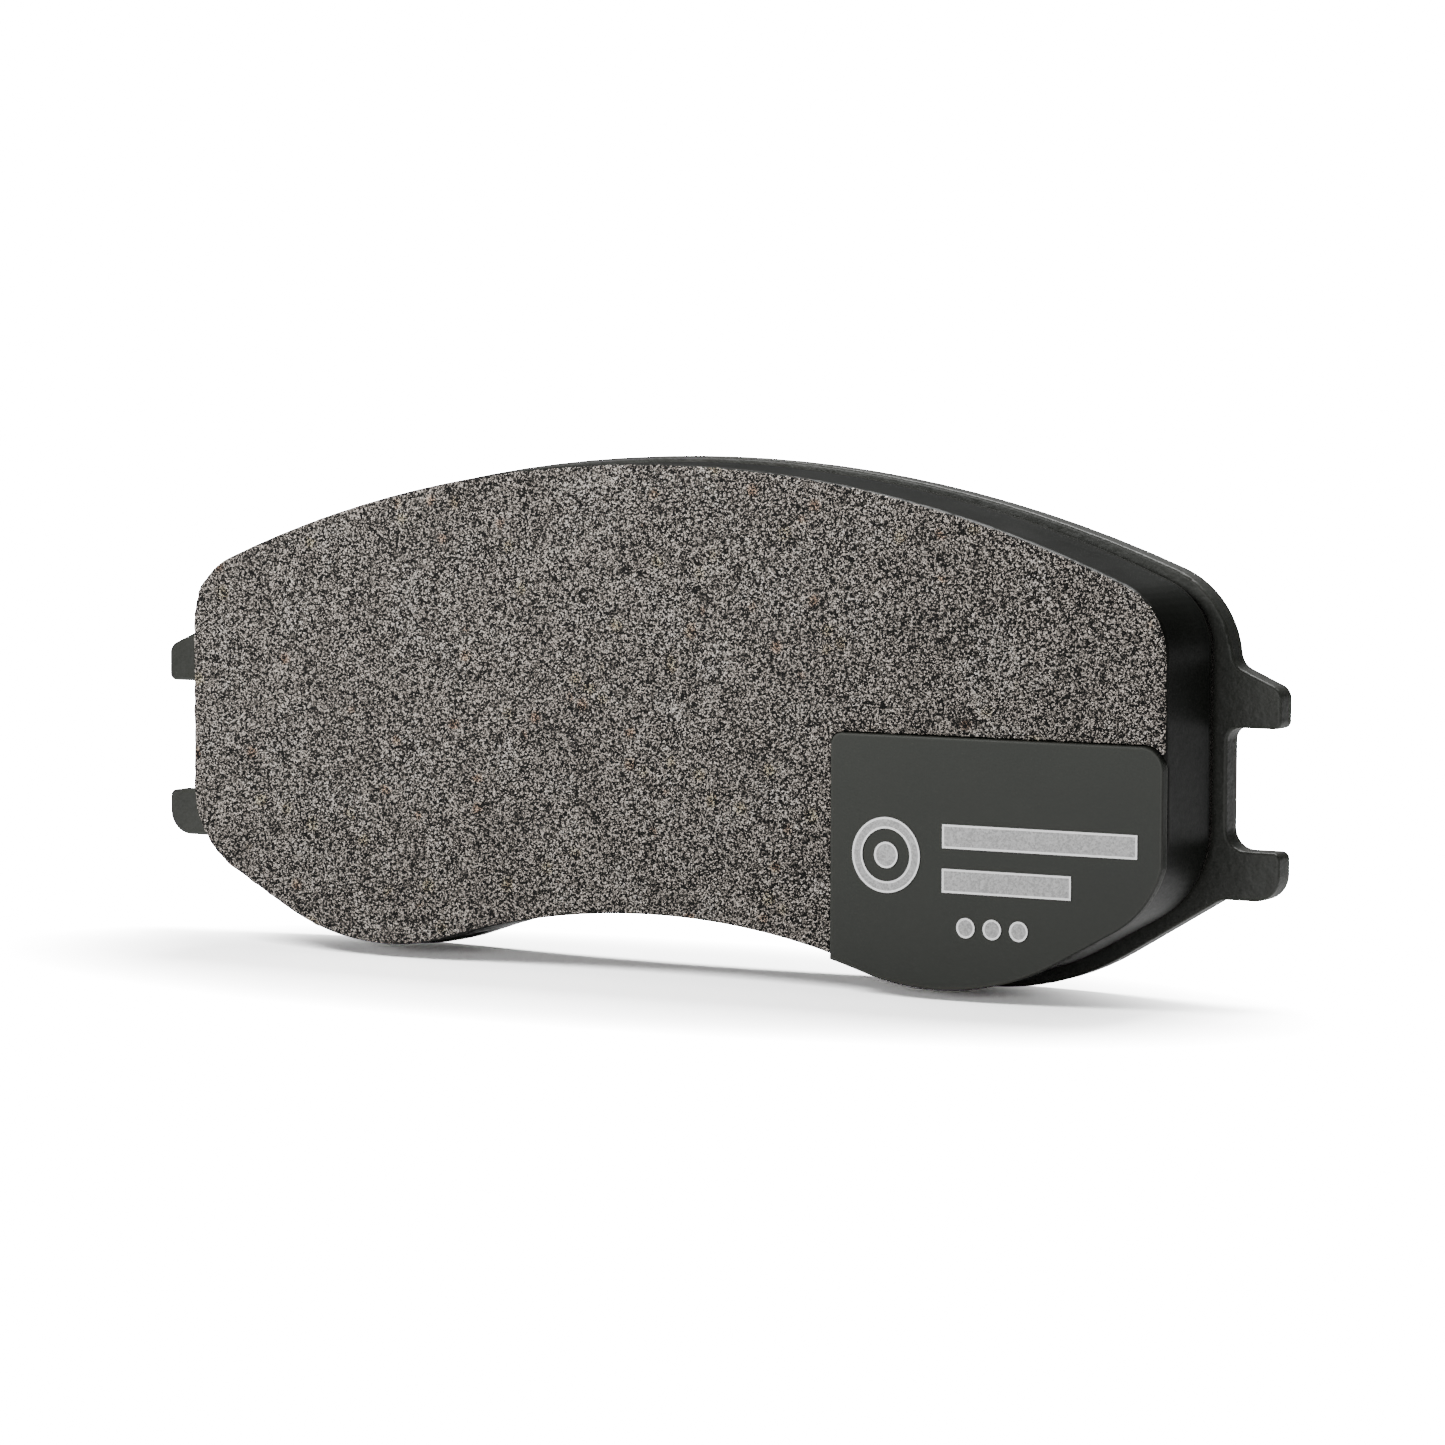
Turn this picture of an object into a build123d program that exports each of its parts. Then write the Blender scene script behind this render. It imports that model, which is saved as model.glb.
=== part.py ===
from build123d import *
import os
from math import cos, radians, sin, sqrt, tan

# A disc brake pad that stands on the two lobes of its lower edge.
# +X runs along its length, the friction face looks to -Y and the steel plate's back to +Y, and +Z points up.
# The origin is under the middle of the whole pad. Heights below are first measured from a datum line near the
# lobes, and the finished pieces are raised together until the plate stands on Z = 0.

# Thicknesses, from the back of the steel plate to the friction face
plate_thickness = 3.2
underlayer_thickness = 0.9
compound_thickness = 13.2
id_plate_thickness = 1.2
id_seat_depth = 0.6
mark_thickness = 0.12

# Outline of the friction compound, which sits a little to one side on the plate
compound_offset_x = 3.0
compound_half_width = 65.0
compound_crown_z = 56.4
compound_crown_radius = 151.5
compound_hip_z = 9.4
compound_taper_angle = 29.2
compound_arch_z = 4.0
compound_arch_radius = 93.0
compound_shoulder_radius = 8.4
compound_hip_radius = 11.7
compound_lobe_radius = 30.2

# The underlayer stops short of the compound's edge, which leaves a narrow groove against the plate
underlayer_inset = 0.6

# Outline of the backing plate without its ears, by its margins around the compound
plate_side_margin = 4.7
plate_crown_margin = 0.6
plate_crown_shift = 1.3
plate_hip_drop = 0.4
plate_arch_drop = 0.4
plate_crown_radius = 166.0
plate_taper_angle = 31.0
plate_arch_radius = 84.0
plate_shoulder_radius = 11.4
plate_lobe_radius = 33.0
plate_front_edge_radius = 0.35
plate_back_edge_radius = 0.25

# Forked ends of the backing plate: two ears and the guide slot between them
ear_length = 5.9
slot_low_z = 13.9
slot_height = 13.8
slot_floor_recess = 0.6
slot_upper_radius = 1.5
slot_lower_radius = 2.4
upper_ear_tip_height = 4.4
upper_ear_slope = 24.0
lower_ear_height = 5.6
upper_ear_root_radius = 2.2
upper_ear_tip_radius = 1.6
slot_mouth_radius = 0.85
lower_ear_tip_radius = 3.0
lower_ear_root_radius = 2.5

# Retention holes through the plate, filled by plugs of the underlayer
hole_radius = 4.5
hole_columns = 4
hole_pitch = 28.0
upper_hole_drop = 15.0
lower_hole_z = 15.0
plug_recess = 0.3

# Identification plate in the lower right corner of the friction face
id_plate_width = 41.3
id_plate_top_z = 26.4
id_lower_overhang = 0.45
id_upper_left_radius = 1.4
id_upper_right_radius = 2.6
id_edge_radius = 0.25

# Plain mark on the identification plate: a ring with a dot, two bars beside it, and a row of dots below
mark_ring_radius = 4.3
mark_ring_width = 1.3
mark_dot_radius = 1.5
mark_bar_height = 2.7
mark_bar_lengths = (24.0, 16.0)
mark_bar_pitch = 5.0
mark_gap = 2.8
mark_centre_z = 12.8
code_dot_radius = 1.15
code_dot_count = 3
code_dot_pitch = 3.3
code_dot_drop = 7.7

# Places worked out from the sizes above
total_thickness = (
    plate_thickness + underlayer_thickness + compound_thickness + id_plate_thickness - id_seat_depth
    + mark_thickness
)
back_y = total_thickness / 2
plate_front_y = back_y - plate_thickness
compound_back_y = plate_front_y - underlayer_thickness
friction_face_y = compound_back_y - compound_thickness
id_back_y = friction_face_y + id_seat_depth
id_front_y = id_back_y - id_plate_thickness
compound_right_x = compound_offset_x + compound_half_width
plate_half_width = compound_half_width + plate_side_margin
plate_crown_z = compound_crown_z + plate_crown_margin
plate_hip_z = compound_hip_z - plate_hip_drop
plate_arch_z = compound_arch_z - plate_arch_drop
slot_high_z = slot_low_z + slot_height
ear_end_x = plate_half_width + ear_length
slot_floor_x = plate_half_width - slot_floor_recess
lower_ear_z = slot_low_z - lower_ear_height
upper_ear_tip_z = slot_high_z + upper_ear_tip_height


def rounded(face, corners, radius):
    """Round the vertices of a face that lie nearest to the given corners."""
    picked = [min(face.vertices(), key=lambda v: (v.X - x) ** 2 + (v.Y - z) ** 2) for x, z in corners]
    return fillet(picked, radius)


def both_sides(x, z):
    """A corner and its mirror image."""
    return [(x, z), (-x, z)]


def arch_height(x, top_z, radius):
    """Height of an arc over x, where its top is at x = 0."""
    return top_z - radius + sqrt(radius**2 - x**2)


def lobed_face(half_width, crown_z, crown_radius, crown_shift, hip_z, taper_angle, arch_z, arch_radius):
    """The pad's outline: an arched top, upright sides, tapers down to two lobes, and an arch between them.

    Returns the face with its corners still sharp, and the corners as pairs: shoulders, hips and toes.
    """
    left_shoulder = (-half_width, arch_height(half_width + crown_shift, crown_z, crown_radius))
    right_shoulder = (half_width, arch_height(half_width - crown_shift, crown_z, crown_radius))
    down_x, down_z = -cos(radians(taper_angle)), -sin(radians(taper_angle))
    from_arch_z = hip_z - (arch_z - arch_radius)
    along = half_width * down_x + from_arch_z * down_z
    outside = half_width**2 + from_arch_z**2 - arch_radius**2
    taper_length = -along - sqrt(along**2 - outside)
    toe_x = half_width + taper_length * down_x
    toe_z = hip_z + taper_length * down_z
    edges = [
        ThreePointArc(left_shoulder, (crown_shift, crown_z), right_shoulder),
        Line(right_shoulder, (half_width, hip_z)),
        Line((half_width, hip_z), (toe_x, toe_z)),
        ThreePointArc((toe_x, toe_z), (0, arch_z), (-toe_x, toe_z)),
        Line((-toe_x, toe_z), (-half_width, hip_z)),
        Line((-half_width, hip_z), left_shoulder),
    ]
    shoulders = [left_shoulder, right_shoulder]
    return make_face(edges), shoulders, both_sides(half_width, hip_z), both_sides(toe_x, toe_z)


def slab(face, back, thickness):
    """Stand a face upright with its back at Y = back, and give it a thickness towards -Y."""
    return Pos(0, back, 0) * extrude(Plane.XZ * face, amount=thickness)


def hole_centres():
    """Centres of the retention holes: an upper row that follows the crown, and a level lower row."""
    centres = []
    for column in range(hole_columns):
        x = (column - (hole_columns - 1) / 2) * hole_pitch
        crown = arch_height(x, compound_crown_z, compound_crown_radius)
        centres.append((compound_offset_x + x, crown - upper_hole_drop))
        centres.append((compound_offset_x + x, lower_hole_z))
    return centres


def hole_faces(radius):
    return Sketch() + [Pos(x, z) * Circle(radius) for x, z in hole_centres()]


def upper_root_radius(outline, x, z):
    """The root radius of the upper ear that starts at (x, z), limited by the straight side above it."""
    above = [v.Y - z for v in outline.vertices() if abs(v.X - x) < 0.001 and v.Y > z + 0.001]
    room = [0.95 * length * tan(radians(45 + upper_ear_slope / 2)) for length in above]
    return min([upper_ear_root_radius] + room)


def backing_plate():
    body, shoulders, _, toes = lobed_face(
        plate_half_width, plate_crown_z, plate_crown_radius, plate_crown_shift, plate_hip_z,
        plate_taper_angle, plate_arch_z, plate_arch_radius,
    )
    body = rounded(body, shoulders, plate_shoulder_radius)
    body = rounded(body, toes, plate_lobe_radius)

    root_x = slot_floor_x - ear_length
    slope = tan(radians(upper_ear_slope))
    side_top_z = upper_ear_tip_z + ear_length * slope
    ears = make_face(Polyline(
        (root_x, lower_ear_z),
        (ear_end_x, lower_ear_z),
        (ear_end_x, upper_ear_tip_z),
        (root_x, side_top_z + (plate_half_width - root_x) * slope),
        close=True,
    ))
    slot_reach = ear_end_x - slot_floor_x + ear_length
    slot_middle_z = slot_low_z + slot_height / 2
    slot = Pos(slot_floor_x + slot_reach / 2, slot_middle_z) * Rectangle(slot_reach, slot_height)
    outline = body + ears + mirror(ears, Plane.YZ) - slot - mirror(slot, Plane.YZ)

    ear_root_x = plate_half_width - (plate_hip_z - lower_ear_z) / tan(radians(plate_taper_angle))
    for x, z in both_sides(plate_half_width, side_top_z):
        outline = rounded(outline, [(x, z)], upper_root_radius(outline, x, z))
    outline = rounded(outline, both_sides(ear_end_x, upper_ear_tip_z), upper_ear_tip_radius)
    outline = rounded(outline, both_sides(ear_end_x, slot_high_z), slot_mouth_radius)
    outline = rounded(outline, both_sides(ear_end_x, slot_low_z), slot_mouth_radius)
    outline = rounded(outline, both_sides(ear_end_x, lower_ear_z), lower_ear_tip_radius)
    outline = rounded(outline, both_sides(slot_floor_x, slot_high_z), slot_upper_radius)
    outline = rounded(outline, both_sides(slot_floor_x, slot_low_z), slot_lower_radius)
    outline = rounded(outline, both_sides(ear_root_x, lower_ear_z), lower_ear_root_radius)

    plate = slab(outline, back_y, plate_thickness)
    front_rim = plate.faces().sort_by(Axis.Y)[0].outer_wire().edges()
    plate = fillet(front_rim, plate_front_edge_radius)
    back_rim = plate.faces().sort_by(Axis.Y)[-1].outer_wire().edges()
    plate = fillet(back_rim, plate_back_edge_radius)
    return plate - slab(hole_faces(hole_radius), back_y, plate_thickness)


def compound_face():
    face, shoulders, hips, toes = lobed_face(
        compound_half_width, compound_crown_z, compound_crown_radius, 0, compound_hip_z,
        compound_taper_angle, compound_arch_z, compound_arch_radius,
    )
    face = rounded(face, shoulders, compound_shoulder_radius)
    face = rounded(face, hips, compound_hip_radius)
    face = rounded(face, toes, compound_lobe_radius)
    return Pos(compound_offset_x, 0) * face


def underlayer(face):
    layer = slab(offset(face, -underlayer_inset), plate_front_y, underlayer_thickness)
    plugs = slab(hole_faces(hole_radius), back_y - plug_recess, plate_thickness - plug_recess)
    return layer + plugs


def id_face(face):
    """The identification plate's outline: flush with the pad's side and ending just below its lower edge."""
    left_x = compound_right_x - id_plate_width
    lower_edge = offset(face, id_lower_overhang)
    floor_z = lower_edge.bounding_box().min.Y
    corner = Pos((left_x + compound_right_x) / 2, (floor_z + id_plate_top_z) / 2) * Rectangle(
        id_plate_width, id_plate_top_z - floor_z)
    corner = rounded(corner, [(left_x, id_plate_top_z)], id_upper_left_radius)
    corner = rounded(corner, [(compound_right_x, id_plate_top_z)], id_upper_right_radius)
    return corner & lower_edge


def id_plate(face):
    plate = slab(face, id_back_y, id_plate_thickness)
    rim = plate.faces().sort_by(Axis.Y)[0].outer_wire().edges()
    return fillet(rim, id_edge_radius)


def id_mark():
    """The mark's separate islands, flat on the identification plate."""
    middle_x = compound_right_x - id_plate_width / 2
    mark_width = 2 * mark_ring_radius + mark_gap + max(mark_bar_lengths)
    ring_x = middle_x - mark_width / 2 + mark_ring_radius
    bars_x = ring_x + mark_ring_radius + mark_gap
    ring = Circle(mark_ring_radius) - Circle(mark_ring_radius - mark_ring_width)
    islands = [Pos(ring_x, mark_centre_z) * ring, Pos(ring_x, mark_centre_z) * Circle(mark_dot_radius)]
    for row, length in enumerate(mark_bar_lengths):
        z = mark_centre_z + (0.5 - row) * mark_bar_pitch
        islands.append(Pos(bars_x + length / 2, z) * Rectangle(length, mark_bar_height))
    for dot in range(code_dot_count):
        x = middle_x + (dot - (code_dot_count - 1) / 2) * code_dot_pitch
        islands.append(Pos(x, mark_centre_z - code_dot_drop) * Circle(code_dot_radius))
    printed = [slab(island, id_front_y, mark_thickness) for island in islands]
    return Compound([solid for island in printed for solid in island.solids()])


outline = compound_face()
seat = id_face(outline)
block = slab(outline, compound_back_y, compound_thickness)
pieces = {
    "backing_plate": backing_plate(),
    "underlayer": underlayer(outline),
    "friction_block": block - slab(seat, id_back_y, id_seat_depth),
    "id_plate": id_plate(seat),
    "id_mark": id_mark(),
}

standing_height = pieces["backing_plate"].bounding_box().min.Z
os.makedirs("parts", exist_ok=True)
for name, piece in pieces.items():
    export_step(Pos(0, 0, -standing_height) * piece, f"parts/{name}.step")
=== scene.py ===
import bpy
import math
from mathutils import Euler, Matrix, Vector
from mathutils.kdtree import KDTree


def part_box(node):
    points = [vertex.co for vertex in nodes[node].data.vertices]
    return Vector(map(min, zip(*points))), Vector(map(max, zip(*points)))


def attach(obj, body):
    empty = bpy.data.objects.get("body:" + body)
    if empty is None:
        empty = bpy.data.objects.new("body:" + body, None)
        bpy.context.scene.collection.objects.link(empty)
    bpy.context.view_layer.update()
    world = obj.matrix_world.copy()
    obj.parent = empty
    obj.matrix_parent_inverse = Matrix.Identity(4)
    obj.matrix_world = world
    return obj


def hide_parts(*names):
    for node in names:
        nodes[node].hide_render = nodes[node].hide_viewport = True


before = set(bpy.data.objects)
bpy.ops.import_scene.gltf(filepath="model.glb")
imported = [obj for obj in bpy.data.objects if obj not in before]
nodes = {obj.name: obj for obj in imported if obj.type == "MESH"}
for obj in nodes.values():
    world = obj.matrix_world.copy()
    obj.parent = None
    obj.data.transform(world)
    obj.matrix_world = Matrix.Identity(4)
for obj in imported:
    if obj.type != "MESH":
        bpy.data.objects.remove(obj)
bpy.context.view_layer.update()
bpy.ops.object.select_all(action="DESELECT")
mm = 0.001
print("frame loaded")


# node helpers

def newMaterial(name):
    material = bpy.data.materials.new(name)
    material.use_nodes = True
    tree = material.node_tree
    return material, tree, tree.nodes["Principled BSDF"]


def addNode(tree, kind, settings=None, **values):
    node = tree.nodes.new(kind)
    for key, value in (settings or {}).items():
        setattr(node, key, value)
    for key, value in values.items():
        node.inputs[key.replace("_", " ")].default_value = value
    return node


def mathNode(tree, operation, first, second=None, third=None, clamp=False):
    node = addNode(tree, "ShaderNodeMath", {"operation": operation, "use_clamp": clamp})
    for socket, value in zip(node.inputs, (first, second, third)):
        if isinstance(value, (int, float)):
            socket.default_value = value
        elif value is not None:
            tree.links.new(value, socket)
    return node.outputs[0]


def mixColor(tree, factor, first, second, blend="MIX"):
    node = addNode(tree, "ShaderNodeMix", {"data_type": "RGBA", "blend_type": blend})
    for socket, value in ((node.inputs[0], factor), (node.inputs[6], first), (node.inputs[7], second)):
        if isinstance(value, (int, float, tuple)):
            socket.default_value = value
        else:
            tree.links.new(value, socket)
    return node.outputs[2]


def rampNode(tree, source, stops):
    node = addNode(tree, "ShaderNodeValToRGB")
    ramp = node.color_ramp
    while len(ramp.elements) < len(stops):
        ramp.elements.new(0.5)
    for element, (place, level) in zip(ramp.elements, stops):
        element.position = place
        element.color = (*level, 1) if isinstance(level, tuple) else (level, level, level, 1)
    tree.links.new(source, node.inputs[0])
    return node.outputs[0]


def newGroup(name, inputs, outputs):
    tree = bpy.data.node_groups.new(name, "ShaderNodeTree")
    for label, value in inputs.items():
        socket = tree.interface.new_socket(name=label, in_out="INPUT", socket_type="NodeSocketFloat")
        socket.default_value = value
    for label, kind in outputs.items():
        tree.interface.new_socket(name=label, in_out="OUTPUT", socket_type=kind)
    return tree, addNode(tree, "NodeGroupInput"), addNode(tree, "NodeGroupOutput")


def useGroup(tree, group, **values):
    node = addNode(tree, "ShaderNodeGroup", {"node_tree": group})
    for key, value in values.items():
        node.inputs[key].default_value = value
    return node


# shader node groups that more than one finish uses

def makeCoatGrain():  # fine powder coat: orange peel and pin-sized nibs, as a height and a shade
    tree, given, made = newGroup(
        "coatGrain", {"peel": 900.0, "nib": 4200.0},
        {"height": "NodeSocketFloat", "shade": "NodeSocketFloat"})
    place = addNode(tree, "ShaderNodeTexCoord").outputs["Object"]
    peel = addNode(tree, "ShaderNodeTexNoise", Detail=2.0, Roughness=0.5)
    nib = addNode(tree, "ShaderNodeTexNoise", Detail=3.0, Roughness=0.6)
    cloud = addNode(tree, "ShaderNodeTexNoise", Scale=60.0, Detail=4.0, Roughness=0.55)
    for texture, label in ((peel, "peel"), (nib, "nib")):
        tree.links.new(given.outputs[label], texture.inputs["Scale"])
    for texture in (peel, nib, cloud):
        tree.links.new(place, texture.inputs["Vector"])
    height = mathNode(tree, "MULTIPLY_ADD", nib.outputs[0], 0.35, peel.outputs[0])
    speck = mathNode(tree, "MULTIPLY_ADD", nib.outputs[0], 0.5, cloud.outputs[0])
    tree.links.new(height, made.inputs["height"])
    tree.links.new(mathNode(tree, "MULTIPLY", speck, 0.6667), made.inputs["shade"])
    return tree


def makeEdgeHighlightAndWear():  # a band along sharp edges, 1 on the edge and 0 on the flats; the coats paint it paler, as rubbed wear where it is patchy and as painted highlight where it is even
    tree, given, made = newGroup(
        "edgeHighlightAndWear", {"radius": 0.0004, "patch": 700.0, "even": 0.0}, {"mask": "NodeSocketFloat"})
    place = addNode(tree, "ShaderNodeTexCoord").outputs["Object"]
    bevel = addNode(tree, "ShaderNodeBevel", {"samples": 6})
    tree.links.new(given.outputs["radius"], bevel.inputs["Radius"])
    facing = addNode(tree, "ShaderNodeVectorMath", {"operation": "DOT_PRODUCT"})
    tree.links.new(bevel.outputs[0], facing.inputs[0])
    tree.links.new(addNode(tree, "ShaderNodeNewGeometry").outputs["Normal"], facing.inputs[1])
    bend = mathNode(tree, "SUBTRACT", 1.0, facing.outputs["Value"])
    patch = addNode(tree, "ShaderNodeTexNoise", Detail=4.0, Roughness=0.7)
    tree.links.new(place, patch.inputs["Vector"])
    tree.links.new(given.outputs["patch"], patch.inputs["Scale"])
    strength = mathNode(tree, "MULTIPLY", bend, 9.0, clamp=True)
    level = mathNode(tree, "MAXIMUM", patch.outputs[0], given.outputs["even"])
    tree.links.new(mathNode(tree, "MULTIPLY", strength, level, clamp=True), made.inputs["mask"])
    return tree


def makeGritField():  # pressed grit: one random shade for each grain, and its height
    tree, given, made = newGroup(
        "gritField", {"grain": 2300.0, "fine": 4600.0},
        {"shade": "NodeSocketFloat", "height": "NodeSocketFloat"})
    place = addNode(tree, "ShaderNodeTexCoord").outputs["Object"]
    warp = addNode(tree, "ShaderNodeTexNoise", {"normalize": False}, Scale=3800.0, Detail=1.0)
    tree.links.new(place, warp.inputs["Vector"])
    push = addNode(tree, "ShaderNodeVectorMath", {"operation": "MULTIPLY_ADD"})
    tree.links.new(warp.outputs["Color"], push.inputs[0])
    push.inputs[1].default_value = (0.00008, 0.00008, 0.00008)
    tree.links.new(place, push.inputs[2])
    coarse = addNode(tree, "ShaderNodeTexVoronoi")
    fine = addNode(tree, "ShaderNodeTexVoronoi")
    for texture, label in ((coarse, "grain"), (fine, "fine")):
        tree.links.new(push.outputs[0], texture.inputs["Vector"])
        tree.links.new(given.outputs[label], texture.inputs["Scale"])
    shadeCoarse = addNode(tree, "ShaderNodeSeparateColor")
    shadeFine = addNode(tree, "ShaderNodeSeparateColor")
    tree.links.new(coarse.outputs["Color"], shadeCoarse.inputs[0])
    tree.links.new(fine.outputs["Color"], shadeFine.inputs[0])
    blend = mathNode(tree, "MULTIPLY_ADD", shadeFine.outputs[0], 0.46, mathNode(
        tree, "MULTIPLY", shadeCoarse.outputs[0], 0.54))
    dome = mathNode(tree, "MULTIPLY_ADD", coarse.outputs["Distance"], -0.9, shadeCoarse.outputs[1])
    domeFine = mathNode(tree, "MULTIPLY_ADD", fine.outputs["Distance"], -0.5, mathNode(
        tree, "MULTIPLY", shadeFine.outputs[1], 0.4))
    tree.links.new(blend, made.inputs["shade"])
    tree.links.new(mathNode(tree, "ADD", dome, domeFine), made.inputs["height"])
    return tree


coatGrain = makeCoatGrain()
edgeHighlightAndWear = makeEdgeHighlightAndWear()
gritField = makeGritField()


# finishes

roughnessSpread = 0.06  # how far a coat's roughness wanders to each side


def coatFinish(name, look):
    material, tree, shader = newMaterial(name)
    grain = useGroup(tree, coatGrain, peel=look["peel"], nib=look["nib"])
    wearAndHighlight = useGroup(tree, edgeHighlightAndWear, radius=look["edgeBandRadius"], even=look["even"])
    tint = rampNode(tree, grain.outputs["shade"], [(0.3, look["dark"]), (0.7, look["light"])])
    # pale edge colour: patchy rubbed wear, plus painted highlight as far as the even level lifts it
    wornAndHighlit = mathNode(tree, "MULTIPLY", wearAndHighlight.outputs["mask"], look["wearAndHighlight"], clamp=True)
    tree.links.new(mixColor(tree, wornAndHighlit, tint, (*look["wornAndHighlit"], 1)), shader.inputs["Base Color"])
    rough = addNode(tree, "ShaderNodeMapRange", From_Min=0.3, From_Max=0.7,
                    To_Min=look["roughness"] - roughnessSpread, To_Max=look["roughness"] + roughnessSpread)
    tree.links.new(grain.outputs["shade"], rough.inputs[0])
    tree.links.new(rough.outputs[0], shader.inputs["Roughness"])
    bump = addNode(tree, "ShaderNodeBump", Strength=look["bump"], Distance=look["bumpDepth"])
    tree.links.new(grain.outputs["height"], bump.inputs["Height"])
    tree.links.new(bump.outputs[0], shader.inputs["Normal"])
    shader.inputs["Specular IOR Level"].default_value = look["specular"]
    return material


# the plate's pale edge colour is partly rubbed paint and partly a painted highlight along the rolled front
# edges
plateLook = {
    "dark": (0.016, 0.0172, 0.0142), "light": (0.036, 0.0382, 0.0325), "roughness": 0.46, "specular": 0.4,
    "wornAndHighlit": (0.13, 0.135, 0.12), "wearAndHighlight": 0.6, "edgeBandRadius": 0.0004, "even": 0.35,
    "peel": 1100.0, "nib": 3600.0, "bump": 0.85, "bumpDepth": 0.00012}
sideLook = {
    "dark": (0.0035, 0.004, 0.003), "light": (0.010, 0.0108, 0.009), "roughness": 0.42, "specular": 0.13,
    "wornAndHighlit": (0.03, 0.032, 0.028), "wearAndHighlight": 0.2, "edgeBandRadius": 0.0003, "even": 0.0,
    "peel": 900.0, "nib": 3600.0, "bump": 0.4, "bumpDepth": 0.00007}
# the tag's pale edge colour, almost even all round, is a painted highlight along its rounded rim
tagLook = {
    "dark": (0.016, 0.018, 0.0145), "light": (0.024, 0.026, 0.0215), "roughness": 0.55, "specular": 0.35,
    "wornAndHighlit": (0.17, 0.175, 0.16), "wearAndHighlight": 0.8, "edgeBandRadius": 0.0003, "even": 0.8,
    "peel": 1500.0, "nib": 5200.0, "bump": 0.25, "bumpDepth": 0.00004}
platePaint = coatFinish("platePaint", plateLook)
sideCoating = coatFinish("sideCoating", sideLook)
tagPlastic = coatFinish("tagPlastic", tagLook)

compoundLook = {
    "grain": 5600.0, "fine": 9800.0, "bump": 1.0, "bumpDepth": 0.0002, "roughness": 0.8,
    "shades": [(0.38, 0.0), (0.52, 0.006), (0.58, 0.04), (0.64, 0.22), (0.70, 0.72), (0.75, 0.88)],
    "warm": (1.0, 0.895, 0.80), "brightest": (0.88, 0.82, 0.76), "patch": (0.75, 1.2),
    "pits": [(0.30, 0.15), (0.42, 1.0), (0.66, 1.0), (0.8, 1.5)],
    "patchScale": 170.0, "pitScale": 620.0, "specular": 0.3,
    "metalFrom": 0.8, "metal": 0.6, "metalGloss": 0.4,
    "flecks": (((1.32, 0.81, 0.54), 620.0, 0.972), ((1.5, 1.29, 0.87), 540.0, 0.965))}  # copper, then straw


def compoundFinish(name, look):
    material, tree, shader = newMaterial(name)
    place = addNode(tree, "ShaderNodeTexCoord").outputs["Object"]
    grit = useGroup(tree, gritField, grain=look["grain"], fine=look["fine"])
    shade = rampNode(tree, grit.outputs["shade"], look["shades"])
    color = mixColor(tree, 1.0, shade, (*look["warm"], 1), "MULTIPLY")

    patch = addNode(tree, "ShaderNodeTexNoise", Scale=look["patchScale"], Detail=5.0, Roughness=0.62)
    tree.links.new(place, patch.inputs["Vector"])
    patchLevel = addNode(tree, "ShaderNodeMapRange", From_Min=0.3, From_Max=0.7,
                         To_Min=look["patch"][0], To_Max=look["patch"][1])
    tree.links.new(patch.outputs[0], patchLevel.inputs[0])
    color = mixColor(tree, 1.0, color, patchLevel.outputs[0], "MULTIPLY")
    pit = addNode(tree, "ShaderNodeTexNoise", Scale=look["pitScale"], Detail=4.0, Roughness=0.65)
    tree.links.new(place, pit.inputs["Vector"])
    color = mixColor(tree, 1.0, color, rampNode(tree, pit.outputs[0], look["pits"]), "MULTIPLY")

    for fleckTint, fleckScale, rare in look["flecks"]:  # only cells above the rare value are tinted
        fleck = addNode(tree, "ShaderNodeTexVoronoi", Scale=fleckScale)
        tree.links.new(place, fleck.inputs["Vector"])
        lot = addNode(tree, "ShaderNodeSeparateColor")
        tree.links.new(fleck.outputs["Color"], lot.inputs[0])
        chosen = mathNode(tree, "GREATER_THAN", lot.outputs[0], rare)
        soft = addNode(tree, "ShaderNodeMapRange", From_Min=0.25, From_Max=0.6, To_Min=0.55, To_Max=0.0)
        tree.links.new(fleck.outputs["Distance"], soft.inputs[0])
        amount = mathNode(tree, "MULTIPLY", chosen, soft.outputs[0])
        tinted = mixColor(tree, 1.0, color, (*fleckTint, 1), "MULTIPLY")
        color = mixColor(tree, amount, color, tinted)
    color = mixColor(tree, 1.0, color, (*look["brightest"], 1), "DARKEN")  # keeps every grain short of white
    tree.links.new(color, shader.inputs["Base Color"])

    metalGrain = mathNode(tree, "GREATER_THAN", grit.outputs["shade"], look["metalFrom"])
    tree.links.new(mathNode(tree, "MULTIPLY", metalGrain, look["metal"]), shader.inputs["Metallic"])
    dull = mathNode(tree, "MULTIPLY_ADD", metalGrain, -look["metalGloss"], look["roughness"])
    tree.links.new(dull, shader.inputs["Roughness"])
    bump = addNode(tree, "ShaderNodeBump", Strength=look["bump"], Distance=look["bumpDepth"])
    tree.links.new(grit.outputs["height"], bump.inputs["Height"])
    tree.links.new(bump.outputs[0], shader.inputs["Normal"])
    shader.inputs["Specular IOR Level"].default_value = look["specular"]
    return material


frictionCompound = compoundFinish("frictionCompound", compoundLook)
plugCompound = compoundFinish("plugCompound", dict(
    compoundLook, shades=[(0.2, 0.004), (0.5, 0.02), (0.75, 0.07), (0.95, 0.2)], patch=(0.7, 1.1)))

foilGrain = {"grain": 4200.0, "fine": 7000.0, "gloss": 0.2, "bump": 0.2, "bumpDepth": 0.00003}
foilLooks = {  # darkest grain, palest grain, roughness
    "foilField": (0.30, 0.50, 0.5), "foilRimHighlight": (0.92, 0.98, 0.45), "paintedShadeEdge": (0.004, 0.012, 0.7)}


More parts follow.
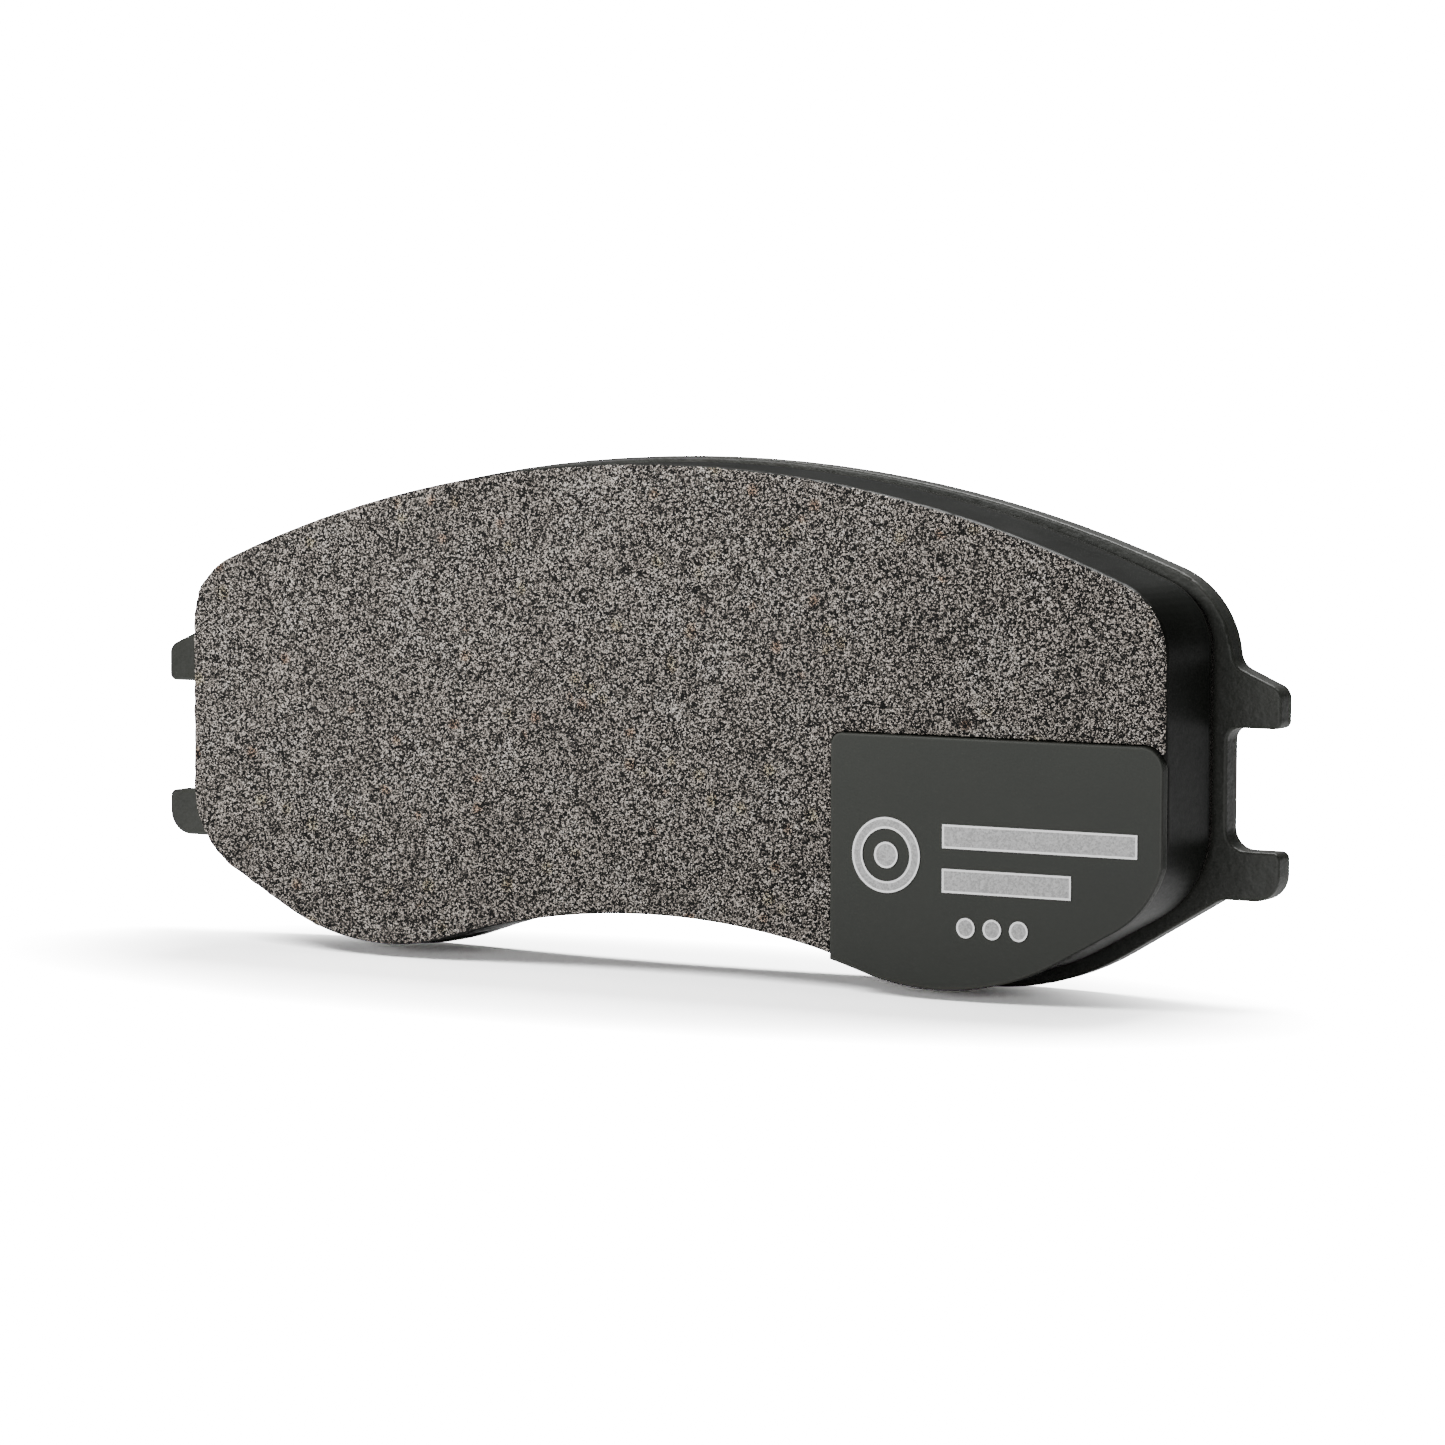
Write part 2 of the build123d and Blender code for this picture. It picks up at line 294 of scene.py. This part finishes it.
def foilFinish(name):
    dark, light, roughness = foilLooks[name]
    material, tree, shader = newMaterial(name)
    grit = useGroup(tree, gritField, grain=foilGrain["grain"], fine=foilGrain["fine"])
    tint = rampNode(tree, grit.outputs["shade"], [(0.2, dark), (0.8, light)])
    tree.links.new(tint, shader.inputs["Base Color"])
    rough = mathNode(tree, "MULTIPLY_ADD", grit.outputs["shade"], foilGrain["gloss"], roughness)
    tree.links.new(rough, shader.inputs["Roughness"])
    bump = addNode(tree, "ShaderNodeBump", Strength=foilGrain["bump"], Distance=foilGrain["bumpDepth"])
    tree.links.new(grit.outputs["height"], bump.inputs["Height"])
    tree.links.new(bump.outputs[0], shader.inputs["Normal"])
    return material


foilField, foilRimHighlight, paintedShadeEdge = [foilFinish(name) for name in foilLooks]
print("finishes made")


# modelling helpers

def pick(piece):
    bpy.ops.object.select_all(action="DESELECT")
    piece.select_set(True)
    bpy.context.view_layer.objects.active = piece


def copyNode(nodeName, pieceName):
    source = nodes[nodeName]
    piece = source.copy()
    piece.data = source.data.copy()
    piece.name = pieceName
    piece.data.name = pieceName
    bpy.context.collection.objects.link(piece)
    piece.parent = None
    piece.matrix_world = Matrix.Identity(4)
    piece.data.materials.clear()
    pick(piece)
    bpy.ops.mesh.customdata_custom_splitnormals_clear()
    bpy.ops.object.mode_set(mode="EDIT")
    bpy.ops.mesh.select_all(action="SELECT")
    bpy.ops.mesh.remove_doubles(threshold=0.000002)
    bpy.ops.mesh.normals_make_consistent(inside=False)
    bpy.ops.mesh.select_all(action="DESELECT")
    bpy.ops.object.mode_set(mode="OBJECT")
    return piece


def applyModifier(piece, kind, **settings):
    pick(piece)
    modifier = piece.modifiers.new(kind.lower(), kind)
    for key, value in settings.items():
        setattr(modifier, key, value)
    bpy.ops.object.modifier_apply(modifier=modifier.name)


def selectFaces(piece, test):
    bpy.ops.object.mode_set(mode="OBJECT")
    bpy.ops.object.mode_set(mode="EDIT")
    bpy.ops.mesh.select_mode(type="FACE")
    bpy.ops.mesh.select_all(action="DESELECT")
    bpy.ops.object.mode_set(mode="OBJECT")
    for face in piece.data.polygons:
        face.select = test(face)
    bpy.ops.object.mode_set(mode="EDIT")


# friction block: the ground face is really rough, its rim is chipped, and its sides are coated

blockSpec = {  # millimetres; each heel step is an inset's width and depth
    "voxel": 0.36, "grit": 0.42, "gritDepth": 0.035, "swell": 3.0, "swellDepth": 0.05,
    "rimWidth": 0.55, "rimSearch": 1.5, "chip": 1.7, "chipDepth": 0.42, "chipLevel": 0.78,
    "heel": ((0.06, 0.5), (0.14, 0.4), (0.2, 0.25))}


def makeFrictionBlock(spec):
    piece = copyNode("friction_block", "frictionBlock")
    low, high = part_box("friction_block")
    faceY, backY = low[1], high[1]
    applyModifier(piece, "REMESH", mode="VOXEL", voxel_size=spec["voxel"] * mm, adaptivity=0.0)
    applyModifier(piece, "SHRINKWRAP", target=nodes["friction_block"], wrap_method="NEAREST_SURFACEPOINT")

    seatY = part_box("id_plate")[1][1]
    selectFaces(piece, lambda face: abs(face.center.y - seatY) < 0.03 * mm and face.normal.y < -0.9)
    bpy.ops.mesh.delete(type="FACE")  # the seat's floor is hidden and needs only one face
    bpy.ops.mesh.select_mode(type="EDGE")
    bpy.ops.mesh.select_non_manifold(extend=False, use_wire=False, use_multi_face=False, use_verts=False)
    bpy.ops.mesh.edge_face_add()
    bpy.ops.mesh.select_all(action="SELECT")
    heelY = backY - sum(depth for width, depth in spec["heel"]) * mm
    bpy.ops.mesh.bisect(plane_co=(0, heelY, 0), plane_no=(0, 1, 0), use_fill=True, clear_outer=True)
    bpy.ops.object.mode_set(mode="OBJECT")
    selectFaces(piece, lambda face: face.normal.y > 0.9 and abs(face.center.y - heelY) < 0.01 * mm)
    for width, depth in spec["heel"]:  # the moulded rear edge rounds off into the groove
        bpy.ops.mesh.inset(thickness=width * mm, depth=depth * mm, use_even_offset=False)
    bpy.ops.object.mode_set(mode="OBJECT")

    piece.data.materials.append(frictionCompound)
    piece.data.materials.append(sideCoating)
    for face in piece.data.polygons:
        onFace = face.center.y < faceY + 0.12 * mm and face.normal.y < -0.35
        face.material_index = 0 if onFace else 1

    ground = piece.vertex_groups.new(name="ground")
    rim = piece.vertex_groups.new(name="rim")
    faceVerts = [v.index for v in piece.data.vertices if v.co.y < faceY + 0.02 * mm]
    wallVerts = [v.index for v in piece.data.vertices
                 if faceY + 0.02 * mm <= v.co.y < faceY + spec["rimSearch"] * mm]
    ground.add(faceVerts, 1.0, "REPLACE")
    walls = KDTree(len(wallVerts))
    for index in wallVerts:
        place = piece.data.vertices[index].co
        walls.insert((place.x, faceY, place.z), index)
    walls.balance()
    for index in faceVerts:
        gap = walls.find(piece.data.vertices[index].co)[2]
        if gap < spec["rimWidth"] * mm:
            rim.add([index], 1.0 - gap / (spec["rimWidth"] * mm), "REPLACE")
    for index in wallVerts:
        gap = piece.data.vertices[index].co.y - faceY
        if gap < spec["rimWidth"] * mm:
            rim.add([index], 1.0 - gap / (spec["rimWidth"] * mm), "REPLACE")

    for label, size, depth, group, level in (
        ("grit", spec["grit"], spec["gritDepth"], "ground", 0.5),
        ("swell", spec["swell"], spec["swellDepth"], "ground", 0.5),
        ("chip", spec["chip"], spec["chipDepth"], "rim", spec["chipLevel"]),
    ):
        texture = bpy.data.textures.new(label, "CLOUDS")
        texture.noise_scale = size * mm
        texture.noise_depth = 2
        texture.noise_type = "SOFT_NOISE" if label != "chip" else "HARD_NOISE"
        applyModifier(piece, "DISPLACE", texture=texture, texture_coords="LOCAL", direction="NORMAL",
                      vertex_group=group, strength=depth * mm, mid_level=level)
    bpy.ops.object.shade_smooth()
    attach(piece, "root")
    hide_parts("friction_block")
    print("friction block", len(piece.data.polygons), "faces")


makeFrictionBlock(blockSpec)


# printed mark: a grained field inside a pale rim whose colour is a painted highlight along the mark's edge,
# with side walls painted near-black as shade

markSpec = {"rim": 0.24, "sink": 0.03}  # millimetres


def makeMark(spec):
    piece = copyNode("id_mark", "printedMark")
    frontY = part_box("id_mark")[0][1]
    pick(piece)
    bpy.ops.object.mode_set(mode="EDIT")
    bpy.ops.mesh.select_all(action="SELECT")
    bpy.ops.mesh.dissolve_limited(angle_limit=math.radians(1))
    bpy.ops.object.mode_set(mode="OBJECT")
    for finish in (foilRimHighlight, foilField, paintedShadeEdge):
        piece.data.materials.append(finish)
    for face in piece.data.polygons:
        # the mark's side walls take the near-black finish: painted shade that draws a dark outline round the
        # mark
        face.material_index = 0 if abs(face.normal.y) > 0.5 else 2
    selectFaces(piece, lambda face: face.normal.y < -0.9 and face.center.y < frontY + 0.01 * mm)
    # the rim left round the inset keeps the near-white finish, a painted highlight along the mark's edge
    bpy.ops.mesh.inset(thickness=spec["rim"] * mm, depth=-spec["sink"] * mm, use_even_offset=True)
    bpy.context.object.active_material_index = 1
    bpy.ops.object.material_slot_assign()
    bpy.ops.object.mode_set(mode="OBJECT")
    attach(piece, "root")
    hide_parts("id_mark")


makeMark(markSpec)


# CAD nodes whose shape is right keep it and take a finish

for nodeName, finish in (
    ("backing_plate", platePaint), ("id_plate", tagPlastic), ("underlayer", plugCompound),
):
    node = nodes[nodeName]
    node.data.materials.clear()
    node.data.materials.append(finish)
print("pieces made")


# studio: pale floor and backdrop, soft lamps, camera

studioSpec = {
    "floorSize": 60, "floor": 0.78, "floorRoughness": 0.9, "floorSpecular": 0.1, "fill": 0.01,
    "seenFloor": 4.5, "backdrop": 30.0,  # only the camera sees these two, and they light nothing
    "glowPlace": (0, -0.012, 0), "glowSize": (0.095, 0.043, 1), "glowFrom": 0.45, "glowFull": 1.3}
lamps = {  # place, target, size, watts
    "keyLamp": ((-0.06, -0.12, 0.14), (-0.02, 0, 0.05), (0.1, 0.08), 0.33),
    "topLamp": ((0.0, 0.2, 0.5), (0, 0, 0), (0.3, 0.2), 4.4),
    "frontLamp": ((0.05, -0.8, 0.14), (0, 0, 0.03), (0.6, 0.2), 2.7)}


def grey(level):
    return (level, level, level, 1)


def makeFloor(spec):
    bpy.ops.mesh.primitive_plane_add(size=spec["floorSize"], location=(0, 0, 0))
    floor = bpy.context.active_object
    floor.name = "floor"
    material, tree, shader = newMaterial("floorPaper")
    shader.inputs["Roughness"].default_value = spec["floorRoughness"]
    shader.inputs["Specular IOR Level"].default_value = spec["floorSpecular"]
    seen = addNode(tree, "ShaderNodeLightPath").outputs["Is Camera Ray"]
    paper = mixColor(tree, seen, grey(spec["floor"]), grey(spec["seenFloor"]))
    tree.links.new(paper, shader.inputs["Base Color"])
    # beyond an oval round the pad the floor glows white for the camera: painted light that fades out the
    # cast shadow's outer part, so real light and shadow show only inside the oval
    oval = addNode(tree, "ShaderNodeMapping", {"vector_type": "TEXTURE"},
                   Location=spec["glowPlace"], Scale=spec["glowSize"])
    tree.links.new(addNode(tree, "ShaderNodeTexCoord").outputs["Object"], oval.inputs["Vector"])
    reach = addNode(tree, "ShaderNodeVectorMath", {"operation": "LENGTH"})
    tree.links.new(oval.outputs[0], reach.inputs[0])
    fade = addNode(tree, "ShaderNodeMapRange", {"interpolation_type": "SMOOTHSTEP"},
                   From_Min=spec["glowFrom"], From_Max=spec["glowFull"])
    tree.links.new(reach.outputs["Value"], fade.inputs[0])
    shader.inputs["Emission Color"].default_value = grey(1)
    glow = mathNode(tree, "MULTIPLY", seen, mathNode(tree, "POWER", fade.outputs[0], 2.0))
    tree.links.new(mathNode(tree, "MULTIPLY", glow, spec["backdrop"]), shader.inputs["Emission Strength"])
    floor.data.materials.append(material)


def makeWorld(spec):
    world = bpy.data.worlds.new("studio")
    world.use_nodes = True
    tree = world.node_tree
    seen = addNode(tree, "ShaderNodeLightPath").outputs["Is Camera Ray"]
    sky = mixColor(tree, seen, grey(spec["fill"]), grey(spec["backdrop"]))
    tree.links.new(sky, tree.nodes["Background"].inputs["Color"])
    bpy.context.scene.world = world


def addLamp(name, place, target, size, power):
    bpy.ops.object.light_add(type="AREA", location=place)
    lamp = bpy.context.active_object
    lamp.name = name
    lamp.data.shape = "RECTANGLE"
    lamp.data.size, lamp.data.size_y = size
    lamp.data.energy = power
    lamp.visible_camera = False
    lamp.rotation_euler = (Vector(target) - Vector(place)).to_track_quat("-Z", "Y").to_euler()


makeFloor(studioSpec)
for lampName, lampValues in lamps.items():
    addLamp(lampName, *lampValues)
makeWorld(studioSpec)

cameraSpec = {
    "place": (0.29363, -0.50734, 0.07423), "yaw": 0.5133, "pitch": 0.0766, "roll": 0.0042, "lens": 124.57}
bpy.ops.object.camera_add(location=cameraSpec["place"])
camera = bpy.context.active_object
turn = Euler((math.pi / 2 - cameraSpec["pitch"], 0, cameraSpec["yaw"]), "XYZ").to_matrix()
camera.rotation_euler = (turn @ Matrix.Rotation(cameraSpec["roll"], 3, "Z")).to_euler("XYZ")
camera.data.lens = cameraSpec["lens"]
camera.data.clip_start = 0.01
bpy.context.scene.camera = camera
print("studio set")
